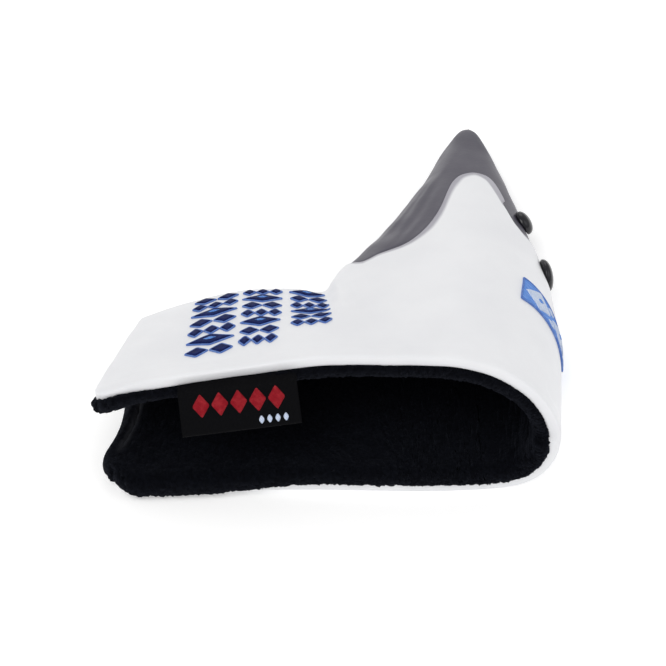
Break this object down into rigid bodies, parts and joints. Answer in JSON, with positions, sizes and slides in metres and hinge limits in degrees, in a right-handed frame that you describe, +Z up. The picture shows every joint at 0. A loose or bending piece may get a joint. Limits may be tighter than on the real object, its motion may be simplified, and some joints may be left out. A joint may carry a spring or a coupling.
{
  "type": "putter head cover",
  "caption": "Padded leather sleeve for a blade putter head: seven-shaped, open along one side and at the neck, plush lined, with a pointed toe, bead eyes and nose, and a folded label.",
  "frame": {"origin": "Under the middle of the cover's overall box, on the surface that its back panel rests on.", "axes": "+X from the neck end to the fold over the sole, +Y from the open mouth to the tip of the toe, +Z up, away from the back panel."},
  "size_m": [0.1258, 0.1484, 0.042],
  "materials": {
    "white_leather": "smooth PU leather with a fine grain, satin",
    "grey_leather": "smooth PU leather with a fine grain, satin",
    "foam": "felted padding, matte",
    "plush": "short black plush",
    "navy_thread": "satin stitched thread",
    "blue_thread": "satin stitched thread",
    "label": "woven ribbon, folded double",
    "bead": "polished black plastic",
    "washer": "moulded plastic",
    "magnet": "plated magnet"
  },
  "bodies": {
    "sleeve": {"outer_leather": "white_leather", "toe_leather": "grey_leather", "body_foam": "foam", "body_lining": "plush", "eye_front": "bead", "eye_back": "bead", "nose": "bead", "eye_front_washer": "washer", "eye_back_washer": "washer", "nose_washer": "washer", "ridge_patch": "blue_thread", "magnet_back_1": "magnet", "magnet_back_2": "magnet"},
    "neck_front": {"neck_front_leather": "white_leather", "neck_front_foam": "foam", "neck_front_lining": "plush", "embroidery_row_1": "navy_thread", "embroidery_row_2": "navy_thread", "embroidery_row_3": "navy_thread", "magnet_front_1": "magnet", "magnet_front_2": "magnet"},
    "label": {"woven_label": "label"}
  },
  "joints": [
    {"name": "neck_front_flex", "type": "hinge", "parent": "sleeve", "child": "neck_front", "pos_m": [-0.02827, -0.00675, 0.006], "axis": [-0.9613, -0.2756, 0], "range_deg": [-20, 10], "stiffness_Nm_per_rad": 0.6},
    {"name": "label_flex", "type": "hinge", "parent": "neck_front", "child": "label", "pos_m": [-0.02612, -0.0638, 0.03595], "axis": [-0.9923, -0.0744, -0.0992], "range_deg": [-15, 80], "stiffness_Nm_per_rad": 0.002}
  ]
}
